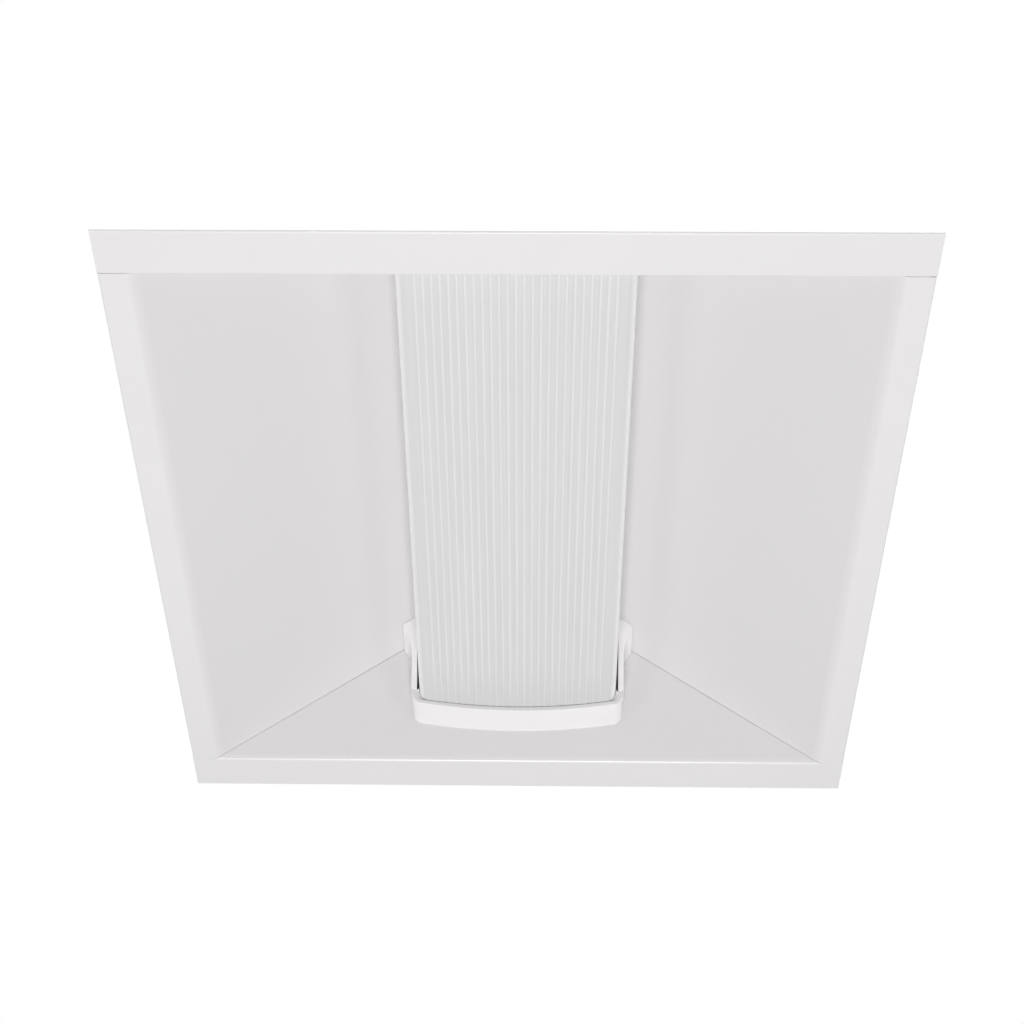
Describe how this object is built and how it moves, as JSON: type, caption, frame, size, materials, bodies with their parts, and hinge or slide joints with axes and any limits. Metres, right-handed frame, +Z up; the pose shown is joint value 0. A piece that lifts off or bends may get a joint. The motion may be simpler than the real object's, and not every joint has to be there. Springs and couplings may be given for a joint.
{
  "type": "recessed troffer light",
  "caption": "Square recessed ceiling troffer with sloped white reflectors, a ribbed frosted centre lens between moulded end caps, and a driver box on the back.",
  "frame": {"origin": "centre of the square ceiling opening, in the plane of the rim's underside, which rests on the ceiling grid", "axes": "+Z up into the ceiling, +Y along the lens away from the viewer of the picture, +X to the right"},
  "size_m": [0.603, 0.603, 0.0984],
  "materials": {
    "white_steel": "satin white powder coat",
    "galvanised_steel": "hot-dip galvanised",
    "lens_acrylic": "frosted ribbed acrylic",
    "cap_plastic": "glossy moulded white",
    "tray_aluminium": "white coated",
    "board_white": "white solder mask",
    "led_phosphor": "silicone over phosphor",
    "zinc_steel": "zinc plated",
    "spring_steel": "tempered spring steel",
    "rivet_aluminium": "plain",
    "connector_plastic": "moulded nylon",
    "black_plastic": "moulded nylon",
    "driver_case": "drawn case",
    "black_lead": "insulation",
    "white_lead": "insulation",
    "green_lead": "insulation",
    "red_lead": "insulation",
    "blue_lead": "insulation",
    "tinned_brass": "tinned",
    "green_screw": "green dyed zinc"
  },
  "bodies": {
    "housing": {"basket_springs": "spring_steel", "board_connectors": "connector_plastic", "board_jumper": "white_lead", "board_screws": "zinc_steel", "clip_rivets": "rivet_aluminium", "corner_rivets": "rivet_aluminium", "cover_pins": "rivet_aluminium", "driver": "driver_case", "driver_box": "galvanised_steel", "driver_connectors": "connector_plastic", "driver_screws": "zinc_steel", "driver_tray": "galvanised_steel", "driver_tray_rivets": "rivet_aluminium", "far_end_plate": "white_steel", "ground_lead": "green_lead", "ground_lug": "tinned_brass", "ground_screw": "green_screw", "led_chips": "led_phosphor", "led_tray": "tray_aluminium", "left_led_board": "board_white", "left_reflector": "white_steel", "live_lead": "black_lead", "near_end_plate": "white_steel", "negative_lead": "blue_lead", "neutral_lead": "white_lead", "positive_lead": "red_lead", "right_led_board": "board_white", "right_reflector": "white_steel", "snap_bushing": "black_plastic", "spine_screws": "zinc_steel", "spring_rivets": "rivet_aluminium", "terminal_block": "black_plastic", "top_pan": "galvanised_steel", "tray_connector": "connector_plastic"},
    "basket": {"lens": "lens_acrylic", "near_end_cap": "cap_plastic", "far_end_cap": "cap_plastic"},
    "cover": {"driver_box_cover": "galvanised_steel", "cover_screw": "zinc_steel"},
    "near_left_clip_body": {"near_left_clip": "zinc_steel"},
    "near_right_clip_body": {"near_right_clip": "zinc_steel"},
    "far_left_clip_body": {"far_left_clip": "zinc_steel"},
    "far_right_clip_body": {"far_right_clip": "zinc_steel"}
  },
  "joints": [
    {"name": "basket_drop", "type": "slide", "parent": "housing", "child": "basket", "axis": [0, 0, 1], "range_m": [-0.09, 0]},
    {"name": "cover_hinge", "type": "hinge", "parent": "housing", "child": "cover", "pos_m": [0.103, 0, 0.091], "axis": [0, -1, 0], "range_deg": [0, 100]},
    {"name": "near_left_clip_swing", "type": "hinge", "parent": "housing", "child": "near_left_clip_body", "pos_m": [-0.25, -0.2715, 0.0147], "axis": [0, 0, 1], "range_deg": [-90, 0]},
    {"name": "near_right_clip_swing", "type": "hinge", "parent": "housing", "child": "near_right_clip_body", "pos_m": [0.25, -0.2715, 0.0147], "axis": [0, 0, 1], "range_deg": [0, 90]},
    {"name": "far_left_clip_swing", "type": "hinge", "parent": "housing", "child": "far_left_clip_body", "pos_m": [-0.25, 0.2715, 0.0147], "axis": [0, 0, 1], "range_deg": [0, 90]},
    {"name": "far_right_clip_swing", "type": "hinge", "parent": "housing", "child": "far_right_clip_body", "pos_m": [0.25, 0.2715, 0.0147], "axis": [0, 0, 1], "range_deg": [-90, 0]}
  ]
}
